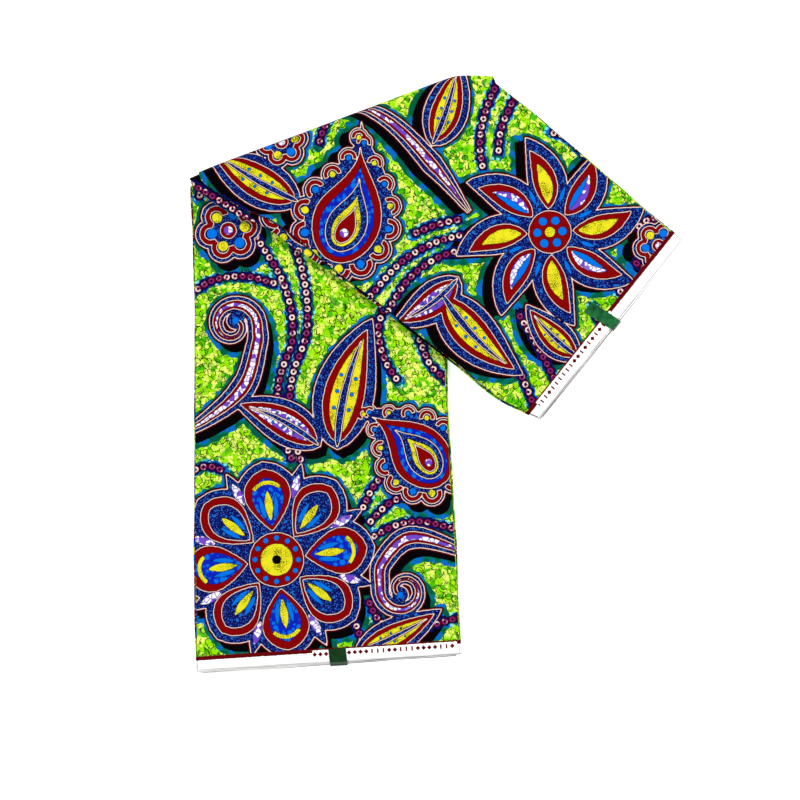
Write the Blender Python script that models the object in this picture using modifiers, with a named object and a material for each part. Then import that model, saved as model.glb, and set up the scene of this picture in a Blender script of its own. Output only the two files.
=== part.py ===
"""A six-yard length of printed cotton cloth, lying folded on a flat surface.

The cloth is folded down to a strip of sixteen layers, as long as the cloth is wide, so both of the
strip's ends are selvedges. The strip is then folded over once on the slant, which leaves two stretches.
The lower stretch lies on the surface. The upper stretch turns back over the fold, lies across the lower
one and comes down to the surface beyond it. Each stretch has the top layer, which shows, and the hidden
layers below it, which share one solid whose edges are parted into leaves. A tab of green tape holds the
layers together at each end.

Metres, +Z up, origin below the middle of the object at the surface that it lies on.
"""

import bisect
import math

import bmesh
import bpy

MM = 0.001

# The cloth, in millimetres. A layer's height takes in the air below it
CLOTH_LENGTH = 5486.0
LAYERS = 16
LAYER = 0.625
STRIP_WIDTH = CLOTH_LENGTH / LAYERS
STACK = LAYERS * LAYER

# The solids part the stack into leaves, of which the uppermost is the top layer with its rolled edges
LEAVES = 4
LEAF = STACK / LEAVES
LEAF_FLANK = (0.3, 0.7)
WALL = 1.5
SEAM = 0.35
LIP = 2.5
GROOVE = 1.5
LEDGE_RISE = 0.05
LEDGE_INSET = WALL + 1.5 * SEAM
SHORTEST_END = 0.004
SHARP_ANGLE = 40

# The slanting fold: a small teardrop of air lies inside it
FOLD_AIR = 1.5
FOLD_RADIUS = FOLD_AIR + STACK
FOLD_CENTRE = FOLD_RADIUS
HEAD_GAP = 1.0
FOLD_PUFF = 0.22
FOLD_TUCK = 1.2

# How the upper stretch comes down beyond the lower one
DROP_START = 8.0
DROP_END = 95.0

# The gentle waves of the cloth: share, slowness along x and y, start. Then how high they are, and how far
# from the upper stretch those of the lower one start and are full
WAVES = ((0.5, 47, 90, 0.0), (0.3, -110, 38, 1.3), (0.2, 29, 29, 0.4))
WAVE = 0.7
WAVE_START = 15.0
WAVE_FULL = 65.0

# The middle of the plan below, so that the origin lies under the middle of the object
MIDDLE = (2.97, 0.51)

# The plan, in millimetres: x, y of points on the outline of each stretch's top layer
FOLD_LINE = ((-322, 260), (-281, 277), (-187, 312), (-97, 346), (10, 386), (27, 391), (46, 392), (75, 391))
FOLD_INWARD = (0.349, -0.937)
UPPER_STARTS = 0.035

LOWER_CORNER = (-310, -384)
LOWER_SLANT = math.radians(3.67)
LOWER_FOOT = (
    LOWER_CORNER,
    (
        LOWER_CORNER[0] + STRIP_WIDTH * math.cos(LOWER_SLANT),
        LOWER_CORNER[1] + STRIP_WIDTH * math.sin(LOWER_SLANT),
    ),
)
LOWER_LEFT = (LOWER_CORNER, (-313, -224), (-313, -62), (-313, 100), (-315, 190), (-318, 249))
LOWER_RIGHT = (LOWER_FOOT[1], (25, -214), (17, -84), (13, 34), (24, 170), (48, 285), (79, 379))
UPPER_END = ((136, -54), (321, 177))
UPPER_NEAR = (
    (136, -54), (85, -29), (32, 13), (-18, 51), (-76, 97), (-122, 131),
    (-172, 173), (-215, 204), (-251, 218), (-297, 247), (-305, 254),
)
UPPER_FAR = ((321, 177), (263, 226), (203, 278), (145, 328), (79, 380))

# The leaves of the hidden layers, bottom one first, in millimetres past the top layer's edge.
# Side tables: share of the way from the selvedge to the fold, left or near side, right or far side
LOWER_LEAF_SIDES = (
    ((0.0, -9.0, -4.0), (0.6, -4.0, -1.0), (1.0, -6.0, 0.0)),
    ((0.0, -2.0, 1.0), (0.5, 0.5, 2.0), (1.0, 1.0, 1.0)),
    ((0.0, 3.0, 2.0), (0.5, 1.5, 3.5), (1.0, 2.0, 1.0)),
)
UPPER_LEAF_SIDES = (
    ((0.0, -3.0, 1.0), (0.5, -2.0, 0.5), (0.8, 2.0, -1.0), (1.0, 0.0, -1.5)),
    ((0.0, 1.0, 3.0), (0.5, 1.0, 1.0), (0.71, 6.0, 1.0), (0.81, 7.0, 1.0), (1.0, 2.0, -1.5)),
    (
        (0.0, 4.0, 1.0), (0.35, 2.5, 2.0), (0.6, 4.5, 2.0), (0.71, 11.0, 2.0),
        (0.81, 12.0, 2.0), (0.9, 11.5, 1.0), (1.0, 10.0, -1.5),
    ),
)
# End tables: past the top layer's cut end at the left or near side, and at the right or far side
LOWER_LEAF_ENDS = ((7.5, 3.5), (5.0, 2.0), (3.0, 1.0))
UPPER_LEAF_ENDS = ((3.5, 5.0), (2.5, 2.0), (1.0, 4.0))

# The lattice that the solids share, so that neighbouring faces lie parallel
ACROSS = (0.025, 0.08, 0.16, 0.26, 0.38, 0.5, 0.62, 0.74, 0.84, 0.92, 0.975)
LOWER_ALONG = (
    0.0, 0.02, 0.06, 0.12, 0.2, 0.28, 0.36, 0.44, 0.52,
    0.58, 0.64, 0.7, 0.76, 0.82, 0.88, 0.94, 0.98, 1.0,
)
UPPER_ALONG = (
    0.0, 0.02, 0.06, 0.11, 0.16, 0.21, 0.26, 0.31, 0.36, 0.41, 0.46,
    0.52, 0.58, 0.64, 0.7, 0.76, 0.82, 0.87, 0.91, 0.95, 0.98, 1.0,
)
TURN_STEPS = 8
LIP_ANGLES = (12, 38, 64, 90)

# The tape tabs: where each crosses its stretch's end, how wide it is and how far in over the print it reaches
TAPE = 0.8
TAPE_ACROSS = (-0.5, -0.17, 0.17, 0.5)
TAPE_ALONG = (-1.0, -0.6, -0.25)
TAPE_PAST_TOP = 0.8
TAPE_PAST_LEAF = 0.6
TAPE_LEAF_SHARE = 0.75
TAPE_FOOT = (0.3, 0.4)
LOWER_TAPE = {"middle": 0.5368, "width": 22.6, "reach": 16.5, "skew": -0.0032}
UPPER_TAPE = {"middle": 0.528, "width": 16.0, "reach": 41.0, "skew": 0.0025}


def with_shares(points):
    """A table of share, x, y: how much of the way along the line each point is."""
    lengths = [math.dist(a, b) for a, b in zip(points, points[1:])]
    return [(sum(lengths[:i]) / sum(lengths), *point) for i, point in enumerate(points)]


def curve_at(table, share):
    """The values of a table at that share: a smooth curve through its rows, and straight on past its ends."""
    shares = [row[0] for row in table]
    i = min(max(bisect.bisect_right(shares, share) - 1, 0), len(table) - 2)

    def slope(k):
        low, high = table[max(k - 1, 0)], table[min(k + 1, len(table) - 1)]
        return [(b - a) / (high[0] - low[0]) for a, b in zip(low[1:], high[1:])]

    low, high = table[i], table[i + 1]
    width = high[0] - low[0]
    if share <= shares[0] or share >= shares[-1]:
        end = table[0] if share <= shares[0] else table[-1]
        return [v + (share - end[0]) * (b - a) / width for v, a, b in zip(end[1:], low[1:], high[1:])]
    x = (share - low[0]) / width
    near, far = slope(i), slope(i + 1)
    return [
        a * (1 + 2 * x) * (1 - x) ** 2 + b * x * x * (3 - 2 * x)
        + width * (m * x * (1 - x) ** 2 - n * x * x * (1 - x))
        for a, b, m, n in zip(low[1:], high[1:], near, far)
    ]


def straight_at(table, share):
    """The values of a table at that share, straight from row to row and level past its ends."""
    shares = [row[0] for row in table]
    share = min(max(share, shares[0]), shares[-1])
    i = min(max(bisect.bisect_right(shares, share) - 1, 0), len(table) - 2)
    low, high = table[i], table[i + 1]
    x = (share - low[0]) / (high[0] - low[0])
    return [a + (b - a) * x for a, b in zip(low[1:], high[1:])]


def smooth(x):
    x = min(max(x, 0.0), 1.0)
    return x * x * (3 - 2 * x)


def upper_fold_share(t):
    """Where on the fold line a point of the upper stretch lies, t of the way across it."""
    return UPPER_STARTS + (1 - UPPER_STARTS) * t


FOLD_CURVE = with_shares(FOLD_LINE)


def inside_fold(share, depth):
    """A point that far in from the fold's outer line."""
    return [p + depth * d for p, d in zip(curve_at(FOLD_CURVE, share), FOLD_INWARD)]


def patch(end, head, left, right, s, t):
    """A point inside four edges in plan: s of the way from the selvedge to the fold, t of the way across."""
    corners = (left[0][1:], right[0][1:], left[-1][1:], right[-1][1:])
    a, b = end(t), head(t)
    c, d = curve_at(left, s), curve_at(right, s)
    return [
        (1 - s) * a[k] + s * b[k] + (1 - t) * c[k] + t * d[k]
        - (1 - s) * ((1 - t) * corners[0][k] + t * corners[1][k])
        - s * ((1 - t) * corners[2][k] + t * corners[3][k])
        for k in (0, 1)
    ]


def lower_head(t):
    return inside_fold(t, FOLD_RADIUS + HEAD_GAP)


def upper_head(t):
    return inside_fold(upper_fold_share(t), FOLD_RADIUS)


def edges_of(foot, head, left, right):
    """The four edges of a stretch, whose corners meet: two functions across, two tables along."""
    feet = with_shares(foot)
    return (
        lambda t: curve_at(feet, t),
        head,
        with_shares((*left[:-1], head(0))),
        with_shares((*right[:-1], head(1))),
    )


LOWER_EDGES = edges_of(LOWER_FOOT, lower_head, LOWER_LEFT, LOWER_RIGHT)
UPPER_EDGES = edges_of(UPPER_END, upper_head, UPPER_NEAR, UPPER_FAR)


def wave(x, y):
    """The cloth's gentle unevenness, from -1 to 1."""
    return sum(share * math.sin(x / slow_x + y / slow_y + start) for share, slow_x, slow_y, start in WAVES)


def past_lower(x, y):
    """How far a point lies past the lower stretch's right edge."""
    edge = [(across, along) for along, across in LOWER_RIGHT]
    return x - straight_at(edge, y)[0]


def past_near(x, y):
    """How far a point lies below the upper stretch's near edge, in plan."""
    return straight_at(UPPER_NEAR[::-1], x)[0] - y


def lower_point(s, t, height):
    """A point of the lower stretch, that high above its underside."""
    x, y = patch(*LOWER_EDGES, s, t)
    bare = smooth((past_near(x, y) - WAVE_START) / (WAVE_FULL - WAVE_START))
    return x, y, height + WAVE * bare * wave(x, y) * height / STACK


def upper_point(s, t, height):
    """A point of the upper stretch. From s = 1 to s = 2 it goes round the fold, down to the surface."""
    if s > 1:
        angle, radius = math.pi * (s - 1), FOLD_AIR + height
        x, y = (c - d * radius * math.sin(angle) for c, d in zip(upper_head(t), FOLD_INWARD))
        return x, y, FOLD_CENTRE + radius * math.cos(angle)
    x, y = patch(*UPPER_EDGES, s, t)
    drop = smooth((past_lower(x, y) - DROP_START) / (DROP_END - DROP_START))
    puff = smooth((s - 1 + FOLD_PUFF) / FOLD_PUFF)
    under = (STACK + SEAM) * (1 - drop)
    under += (FOLD_CENTRE + FOLD_AIR - under) * puff
    return x, y, under + height + WAVE * (1 - puff) * wave(x, y) * height / STACK


def span(edges, s, t):
    """The width of a stretch at s and its length at t."""
    left, right = patch(*edges, min(s, 1), 0), patch(*edges, min(s, 1), 1)
    foot, head = patch(*edges, 0, t), patch(*edges, 1, t)
    return math.dist(left, right), math.dist(foot, head)


def placed(point):
    """A point in metres, from the origin below the object's middle."""
    x, y, z = point
    return (x - MIDDLE[0]) * MM, (y - MIDDLE[1]) * MM, z * MM


def add_object(name, mesh, material):
    mesh.materials.append(material)
    mesh.shade_smooth()
    mesh.set_sharp_from_angle(angle=math.radians(SHARP_ANGLE))
    piece = bpy.data.objects.new(name, mesh)
    CLOTH.objects.link(piece)
    return piece


def cloth_wall(name, rows, columns, point, thickness, material):
    """A sheet through a grid of points, seen from above, made thick on its underside."""
    shape = bmesh.new()
    bmesh.ops.create_grid(shape, x_segments=columns, y_segments=rows, size=1.0)
    shape.verts.ensure_lookup_table()
    for corner in shape.verts:
        corner.co = placed(point(*divmod(corner.index, columns + 1)))
    mesh = bpy.data.meshes.new(name)
    shape.to_mesh(mesh)
    shape.free()
    wall = add_object(name, mesh, material).modifiers.new("thickness", "SOLIDIFY")
    wall.thickness = thickness * MM
    wall.offset = -1.0
    wall.use_even_offset = True


def layered_block(name, rows, columns, levels, point, material):
    """One closed body: the outside of a block of rows along, columns across and levels up."""
    corners, index, faces = [], {}, []

    def corner(*place):
        if place not in index:
            index[place] = len(corners)
            corners.append(placed(point(*place)))
        return index[place]

    def face(*places):
        faces.append([corner(*place) for place in places])

    for i in range(rows):
        for j in range(columns):
            face((i, j, 0), (i + 1, j, 0), (i + 1, j + 1, 0), (i, j + 1, 0))
            face((i, j, levels), (i, j + 1, levels), (i + 1, j + 1, levels), (i + 1, j, levels))
    for k in range(levels):
        for i in range(rows):
            face((i + 1, 0, k), (i, 0, k), (i, 0, k + 1), (i + 1, 0, k + 1))
            face((i, columns, k), (i + 1, columns, k), (i + 1, columns, k + 1), (i, columns, k + 1))
        for j in range(columns):
            face((0, j, k), (0, j + 1, k), (0, j + 1, k + 1), (0, j, k + 1))
            face((rows, j + 1, k), (rows, j, k), (rows, j, k + 1), (rows, j + 1, k + 1))
    mesh = bpy.data.meshes.new(name)
    mesh.from_pydata(corners, [], faces)
    add_object(name, mesh, material)


def leaf_levels():
    """The hidden layers' levels, upwards: height, leaf, and how far in the edge is from the leaf's own."""
    levels = []
    for leaf in range(LEAVES - 1):
        low = leaf * LEAF
        high = low + LEAF - (SEAM if leaf == LEAVES - 2 else 0)
        levels.append((low, leaf, GROOVE))
        levels += [(low + share * LEAF, leaf, 0.0) for share in LEAF_FLANK]
    levels.append((high - LEDGE_RISE, leaf, GROOVE))
    levels.append((high, None, LEDGE_INSET))
    levels.append((STACK - WALL - SEAM, None, LIP + SEAM))
    return levels


def hidden_layers(name, place, edges, along, sides, ends, material):
    """The layers below the top one, in one solid with a groove between each two leaves."""
    levels = leaf_levels()

    def edge_of(leaf, s, t):
        """How far the leaf reaches past the top layer: two sides and the end. No leaf: the top layer's own."""
        if leaf is None:
            tuck = FOLD_TUCK * smooth(1 + (s - 1) / FOLD_PUFF)
            return -tuck, -tuck, 0.0
        near, far = straight_at(sides[leaf], s)
        first, last = ends[leaf]
        return near, far, first + (last - first) * min(max(t, 0), 1)

    def point(i, j, k):
        height, leaf, inset = levels[k]
        s = along[i]
        t = (0.0, *ACROSS, 1.0)[j]
        near, far, end = edge_of(leaf, s, t)
        if leaf and inset == GROOVE and height == leaf * LEAF:
            below = edge_of(leaf - 1, s, t)
            near, far, end = (min(pair) for pair in zip((near, far, end), below))
        width, length = span(edges, s, t)
        if j == 0:
            t = -(near - inset) / width
        elif j == len(ACROSS) + 1:
            t = 1 + (far - inset) / width
        if i == 0:
            s = -(end - (0.0 if leaf is None else inset)) / length
            s = max(s, SHORTEST_END) if leaf is None else s
        return place(s, t, height)

    layered_block(name, len(along) - 1, len(ACROSS) + 1, len(levels) - 1, point, material)


def top_layer(name, place, edges, along, material):
    """The layer that shows: a wall whose long edges roll down, as a folded edge does."""
    columns = [("left", angle) for angle in LIP_ANGLES] + [("flat", t) for t in ACROSS]
    columns += [("right", angle) for angle in reversed(LIP_ANGLES)]

    def point(i, j):
        s, (kind, value) = along[i], columns[j]
        if kind == "flat":
            return place(s, value, STACK)
        angle, (width, _) = math.radians(value), span(edges, s, 0)
        inset = LIP * (1 - math.cos(angle)) / width
        return place(s, inset if kind == "left" else 1 - inset, STACK - LIP * (1 - math.sin(angle)))

    cloth_wall(name, len(along) - 1, len(columns) - 1, point, WALL, material)


def tape_profile(ends, middle, reach):
    """The tape's line in a section along the strip, upwards: past the top layer's end, height."""
    past = [first + (last - first) * middle for first, last in ends]
    line = [(share * reach, STACK) for share in TAPE_ALONG] + [(TAPE_PAST_TOP, STACK)]
    reached = TAPE_PAST_TOP
    for leaf in range(LEAVES - 2, -1, -1):
        reached = max(reached + TAPE_PAST_TOP, past[leaf] + TAPE_PAST_LEAF)
        line.append((reached, (leaf + TAPE_LEAF_SHARE) * LEAF))
    line.append((reached + TAPE_FOOT[0], TAPE_FOOT[1]))
    return line[::-1]


def tape_tab(name, place, edges, ends, size, material):
    """A tab of tape on the top layer, over the layers' cut ends and down to just above the surface."""
    line = tape_profile(ends, size["middle"], size["reach"])
    width, length = span(edges, 0, size["middle"])
    off = SEAM + TAPE

    def point(i, j):
        past, height = line[i]
        low, high = line[max(i - 1, 0)], line[min(i + 1, len(line) - 1)]
        along, up = low[0] - high[0], high[1] - low[1]
        out, above = off * up / math.hypot(along, up), off * along / math.hypot(along, up)
        t = size["middle"] + TAPE_ACROSS[j] * size["width"] / width - size["skew"] * past / size["reach"]
        return place(-(past + out) / length, t, height + above)

    cloth_wall(name, len(line) - 1, len(TAPE_ACROSS) - 1, point, TAPE, material)


def cloth_material(name, colour, roughness):
    material = bpy.data.materials.new(name)
    material.use_nodes = True
    shader = material.node_tree.nodes["Principled BSDF"]
    shader.inputs["Base Color"].default_value = (*colour, 1.0)
    shader.inputs["Roughness"].default_value = roughness
    shader.inputs["Metallic"].default_value = 0.0
    return material


for old in list(bpy.data.objects):
    bpy.data.objects.remove(old)
CLOTH = bpy.data.collections.new("folded_printed_cloth")
bpy.context.scene.collection.children.link(CLOTH)

print_cotton = cloth_material("printed_cotton", (0.42, 0.72, 0.05), 0.7)
layer_cotton = cloth_material("layer_edges", (0.75, 0.76, 0.68), 0.8)
green_tape = cloth_material("green_tape", (0.01, 0.1, 0.03), 0.4)

ROUND_THE_FOLD = tuple(1 + (step + 1) / TURN_STEPS for step in range(TURN_STEPS))
UPPER_ROWS = UPPER_ALONG + ROUND_THE_FOLD

hidden_layers(
    "lower_hidden_layers", lower_point, LOWER_EDGES, LOWER_ALONG,
    LOWER_LEAF_SIDES, LOWER_LEAF_ENDS, layer_cotton,
)
top_layer("lower_top_layer", lower_point, LOWER_EDGES, LOWER_ALONG, print_cotton)
hidden_layers(
    "upper_hidden_layers", upper_point, UPPER_EDGES, UPPER_ROWS,
    UPPER_LEAF_SIDES, UPPER_LEAF_ENDS, layer_cotton,
)
top_layer("upper_top_layer", upper_point, UPPER_EDGES, UPPER_ROWS, print_cotton)
tape_tab("lower_tape_tab", lower_point, LOWER_EDGES, LOWER_LEAF_ENDS, LOWER_TAPE, green_tape)
tape_tab("upper_tape_tab", upper_point, UPPER_EDGES, UPPER_LEAF_ENDS, UPPER_TAPE, green_tape)
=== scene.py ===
"""A folded six-yard length of wax printed cotton, lying flat, seen from straight above.

Lengths are in millimetres until a mesh is made. The print is the builder's own: generic flowers, paisleys,
leaves, tendrils and strings of beads on a bubbled ground. Each motif is an outline worked out from a few
sizes. The cloth's points keep their distances to those outlines, and the material turns the distances into
colours.
"""

import math
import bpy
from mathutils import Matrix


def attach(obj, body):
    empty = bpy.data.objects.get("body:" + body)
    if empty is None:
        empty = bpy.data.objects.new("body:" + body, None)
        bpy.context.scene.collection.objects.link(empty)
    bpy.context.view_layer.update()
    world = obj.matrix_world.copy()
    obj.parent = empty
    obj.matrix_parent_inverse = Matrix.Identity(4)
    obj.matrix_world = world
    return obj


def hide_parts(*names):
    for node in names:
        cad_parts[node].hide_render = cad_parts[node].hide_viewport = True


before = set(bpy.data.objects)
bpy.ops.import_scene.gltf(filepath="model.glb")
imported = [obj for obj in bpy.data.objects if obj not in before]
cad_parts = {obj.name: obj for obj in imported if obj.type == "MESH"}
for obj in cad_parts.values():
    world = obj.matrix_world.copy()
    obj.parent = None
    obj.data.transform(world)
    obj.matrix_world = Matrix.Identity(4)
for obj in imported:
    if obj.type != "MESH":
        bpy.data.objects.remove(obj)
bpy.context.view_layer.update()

from types import SimpleNamespace

import bpy
import mathutils
import numpy as np

MM = 0.001
joined = np.concatenate

# The cloth's stack and its slanting fold, as the solids have them
STRIP_WIDTH = 5486.0 / 16
STACK = 10.0
FOLD_AIR = 1.5
FOLD_RADIUS = FOLD_AIR + STACK
HEAD_GAP = 1.0
FOLD_PUFF = 0.22
FOLD_INWARD = np.array((0.349, -0.937))
UPPER_STARTS = 0.035
SEAM = 0.35
DROP_START = 8.0
DROP_END = 95.0
WAVES = ((0.5, 47, 90, 0.0), (0.3, -110, 38, 1.3), (0.2, 29, 29, 0.4))
WAVE = 0.7
WAVE_START = 15.0
WAVE_FULL = 65.0
MIDDLE = np.array((2.97, 0.51, 0.0))

CENTRE = (0.0, 0.0)


def around(angle, distance, place=CENTRE):
    """A point at that angle in degrees and distance from a place."""
    a = math.radians(angle)
    return place[0] + distance * math.cos(a), place[1] + distance * math.sin(a)


# The plan: x, y of points on the outline of each stretch's top layer
FOLD_LINE = ((-322, 260), (-281, 277), (-187, 312), (-97, 346), (10, 386), (27, 391), (46, 392), (75, 391))
LOWER_CORNER = (-310, -384)
LOWER_SLANT = 3.67
LOWER_FOOT = (LOWER_CORNER, around(LOWER_SLANT, STRIP_WIDTH, LOWER_CORNER))
LOWER_LEFT = (LOWER_CORNER, (-313, -224), (-313, -62), (-313, 100), (-315, 190))
LOWER_RIGHT = (LOWER_FOOT[1], (25, -214), (17, -84), (13, 34), (24, 170), (48, 285), (79, 379))
UPPER_END = ((136, -54), (321, 177))
UPPER_NEAR = (
    (136, -54), (85, -29), (32, 13), (-18, 51), (-76, 97), (-122, 131),
    (-172, 173), (-215, 204), (-251, 218), (-297, 247), (-305, 254),
)
UPPER_FAR = ((321, 177), (263, 226), (203, 278), (145, 328))

# The leaves of the hidden layers, bottom one first and the fold below the top layer last: share of the way
# from the selvedge to the fold, and the reach past the top layer on the left or near side and on the other
LOWER_SIDES = (
    ((0.0, -9.0, -4.0), (0.6, -4.0, -1.0), (1.0, -6.0, 0.0)),
    ((0.0, -2.0, 1.0), (0.5, 0.5, 2.0), (1.0, 1.0, 1.0)),
    ((0.0, 3.0, 2.0), (0.5, 1.5, 3.5), (1.0, 2.0, 1.0)),
    ((0.0, 0.6, 0.4), (1.0, 0.3, 0.5)),
)
UPPER_SIDES = (
    ((0.0, -3.0, 1.0), (0.5, -2.0, 0.5), (0.8, 2.0, -1.0), (1.0, 0.0, -1.5)),
    ((0.0, 1.0, 3.0), (0.5, 1.0, 1.0), (0.71, 6.0, 1.0), (0.81, 7.0, 1.0), (1.0, 2.0, -1.5)),
    (
        (0.0, 4.0, 1.0), (0.35, 2.5, 2.0), (0.6, 4.5, 2.0), (0.71, 11.0, 2.0),
        (0.81, 12.0, 2.0), (0.9, 11.5, 1.0), (1.0, 10.0, -1.5),
    ),
    ((0.0, 0.4, 0.6), (1.0, 0.3, 0.0)),
)
# The same at the cut ends: at the left or near side, and at the right or far side
LOWER_ENDS = ((7.5, 3.5), (5.0, 2.0), (3.0, 1.0), (0.9, 0.5))
UPPER_ENDS = ((3.5, 5.0), (2.5, 2.0), (1.0, 4.0), (0.6, 0.9))


def with_shares(points):
    """How much of the way along a line each of its points is, and the points."""
    points = np.array(points, float).reshape(-1, 2)
    along = joined(([0.0], np.cumsum(np.linalg.norm(np.diff(points, axis=0), axis=1))))
    return along / along[-1], points


def curve_at(curve, share):
    """Points of a smooth curve through its rows, and straight on past its ends."""
    shares, points = curve
    share = np.asarray(share, float)
    last = len(shares) - 1
    i = np.clip(np.searchsorted(shares, share, side="right") - 1, 0, last - 1)
    before, after = np.maximum(np.arange(last + 1) - 1, 0), np.minimum(np.arange(last + 1) + 1, last)
    slopes = (points[after] - points[before]) / (shares[after] - shares[before])[:, None]
    width = (shares[i + 1] - shares[i])[..., None]
    x = (share - shares[i])[..., None] / width
    low, high = points[i], points[i + 1]
    inside = low * (1 + 2 * x) * (1 - x) ** 2 + high * x * x * (3 - 2 * x)
    inside += width * (slopes[i] * x * (1 - x) ** 2 - slopes[i + 1] * x * x * (1 - x))
    outside = (share <= 0) | (share >= 1)
    return np.where(outside[..., None], low + (high - low) * x, inside)


def smooth(x):
    x = np.clip(x, 0.0, 1.0)
    return x * x * (3 - 2 * x)


FOLD_CURVE = with_shares(FOLD_LINE)


def inside_fold(share, depth):
    return curve_at(FOLD_CURVE, share) + depth * FOLD_INWARD


def lower_head(t):
    return inside_fold(t, FOLD_RADIUS + HEAD_GAP)


def upper_head(t):
    return inside_fold(UPPER_STARTS + (1 - UPPER_STARTS) * np.asarray(t, float), FOLD_RADIUS)


def edges_of(foot, head, left, right):
    """The four edges of a stretch, whose corners meet."""
    return with_shares(foot), head, with_shares((*left, head(0.0))), with_shares((*right, head(1.0)))


LOWER_EDGES = edges_of(LOWER_FOOT, lower_head, LOWER_LEFT, LOWER_RIGHT[:-1])
UPPER_EDGES = edges_of(UPPER_END, upper_head, UPPER_NEAR[:-1], UPPER_FAR)


def patch(edges, s, t):
    """Points between four edges in plan: s of the way from the selvedge to the fold, t of the way across."""
    foot, head, left, right = edges
    corners = left[1][0], right[1][0], left[1][-1], right[1][-1]
    a, b = curve_at(foot, t), head(t)
    c, d = curve_at(left, s), curve_at(right, s)
    s, t = np.asarray(s)[..., None], np.asarray(t)[..., None]
    flat = (1 - s) * a + s * b + (1 - t) * c + t * d
    flat -= (1 - s) * ((1 - t) * corners[0] + t * corners[1])
    return flat - s * ((1 - t) * corners[2] + t * corners[3])


def wave(x, y):
    """The cloth's gentle unevenness, from -1 to 1."""
    return sum(share * np.sin(x / slow_x + y / slow_y + start) for share, slow_x, slow_y, start in WAVES)


def past_lower(x, y):
    """How far a point lies past the lower stretch's right edge."""
    right = np.array(LOWER_RIGHT, float)
    return x - np.interp(y, right[:, 1], right[:, 0])


def past_near(x, y):
    """How far a point lies below the upper stretch's near edge, in plan."""
    near = np.array(UPPER_NEAR[::-1], float)
    return np.interp(x, near[:, 0], near[:, 1]) - y


# Soft creases: start x, y, end x, y, half width, depth. A negative depth is a ridge
LOWER_CREASES = (
    (-306, 202, -250, 202, 2.2, 0.9),
    (-166, 130, -146, 130, 2.0, 0.8),
    (-300, -212, -20, -203, 3.0, 0.6),
    (-310, 66, -205, 62, 2.6, 0.5),
    (-120, -350, -60, -60, 14.0, 0.7),
    (-250, -330, -265, -120, 18.0, -0.8),
    (-60, -150, 5, -20, 12.0, -0.7),
    (-240, 20, -150, 150, 11.0, 0.7),
    (-180, -60, -120, 90, 9.0, -0.6),
    (-20, -340, 10, -180, 8.0, 0.5),
)
UPPER_CREASES = (
    (-230, 222, 20, 345, 14.0, 1.4),
    (-262, 262, -60, 342, 7.0, -1.1),
    (-120, 150, 60, 372, 12.0, 1.0),
    (-40, 90, 110, 330, 9.0, -0.9),
    (30, 30, 190, 215, 11.0, 1.1),
    (60, 5, 215, 190, 8.0, -1.0),
    (110, -30, 265, 160, 3.5, 0.7),
    (-30, 370, 110, 340, 9.0, 0.9),
    (120, 100, 210, 270, 13.0, 1.2),
    (-290, 252, -200, 232, 5.0, 1.1),
)
# Short sharp creases, which hold a thin dark line of painted shade
LOWER_NIPS = (
    (-306, 201, -280, 201.5, -252, 200),
    (-166, 130, -148, 130),
    (-300, -212, -262, -211),
)
UPPER_NIPS = ((-292, 254, -258, 246, -226, 238), (128, -26, 160, 16, 190, 60))


def creased(table, x, y):
    """How far the soft creases raise the cloth there."""
    rise = np.zeros_like(x)
    for x0, y0, x1, y1, width, depth in table:
        along = np.array((x1 - x0, y1 - y0), float)
        length = np.linalg.norm(along)
        along /= length
        u = (x - x0) * along[0] + (y - y0) * along[1]
        v = (y - y0) * along[0] - (x - x0) * along[1]
        bow = 0.03 * length * np.sin(np.pi * np.clip(u / length, 0, 1))
        fade = smooth(u / (0.25 * length)) * smooth((length - u) / (0.3 * length))
        rise -= depth * fade * np.exp(-(((v - bow) / width) ** 2))
    return rise


def lower_point(s, t, height):
    """Points of the lower stretch, that high above its underside."""
    x, y = np.moveaxis(patch(LOWER_EDGES, s, t), -1, 0)
    bare = smooth((past_near(x, y) - WAVE_START) / (WAVE_FULL - WAVE_START))
    z = height + (WAVE * wave(x, y) + creased(LOWER_CREASES, x, y)) * bare * (height / STACK) ** 2
    return np.stack((x, y, z), -1)


def upper_point(s, t, height):
    """Points of the upper stretch. From s = 1 to s = 2 they go round the fold, down to the surface."""
    s, t = np.broadcast_arrays(np.asarray(s, float), np.asarray(t, float))
    height = np.broadcast_to(height, s.shape)
    x, y = np.moveaxis(patch(UPPER_EDGES, np.minimum(s, 1), t), -1, 0)
    drop = smooth((past_lower(x, y) - DROP_START) / (DROP_END - DROP_START))
    puff = smooth((s - 1 + FOLD_PUFF) / FOLD_PUFF)
    under = (STACK + SEAM) * (1 - drop)
    under = under + (FOLD_RADIUS + FOLD_AIR - under) * puff
    uneven = (1 - puff) * WAVE * wave(x, y) + smooth((1 - s) / 0.05) * creased(UPPER_CREASES, x, y)
    z = under + height + uneven * (height / STACK) ** 2
    flat = np.stack((x, y, z), -1)
    angle, radius = np.pi * (s - 1), FOLD_AIR + height
    turned = upper_head(t) - (radius * np.sin(angle))[..., None] * FOLD_INWARD
    round_it = joined((turned, (FOLD_RADIUS + radius * np.cos(angle))[..., None]), -1)
    return np.where((s > 1)[..., None], round_it, flat)


# Outlines of the print's motifs, as closed lines of x, y points
def turned(points, angle, place):
    """Points turned by an angle in degrees, then moved."""
    c, s = math.cos(math.radians(angle)), math.sin(math.radians(angle))
    return points @ ((c, s), (-s, c)) + place


def rays(degrees):
    """Points at distance 1 at those angles."""
    return np.stack((np.cos(np.radians(degrees)), np.sin(np.radians(degrees))), -1)


def circle(radius, place=CENTRE, count=40):
    return rays(np.linspace(0, 360, count, endpoint=False)) * radius + place


def bent(points, bend, length):
    """Points about the x axis, bent so that the axis turns by that many degrees over the length."""
    if bend == 0:
        return points
    radius = length / math.radians(bend)
    angle = points[:, 0] / radius
    reach = radius - points[:, 1]
    return np.stack((reach * np.sin(angle), radius - reach * np.cos(angle)), -1)


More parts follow.
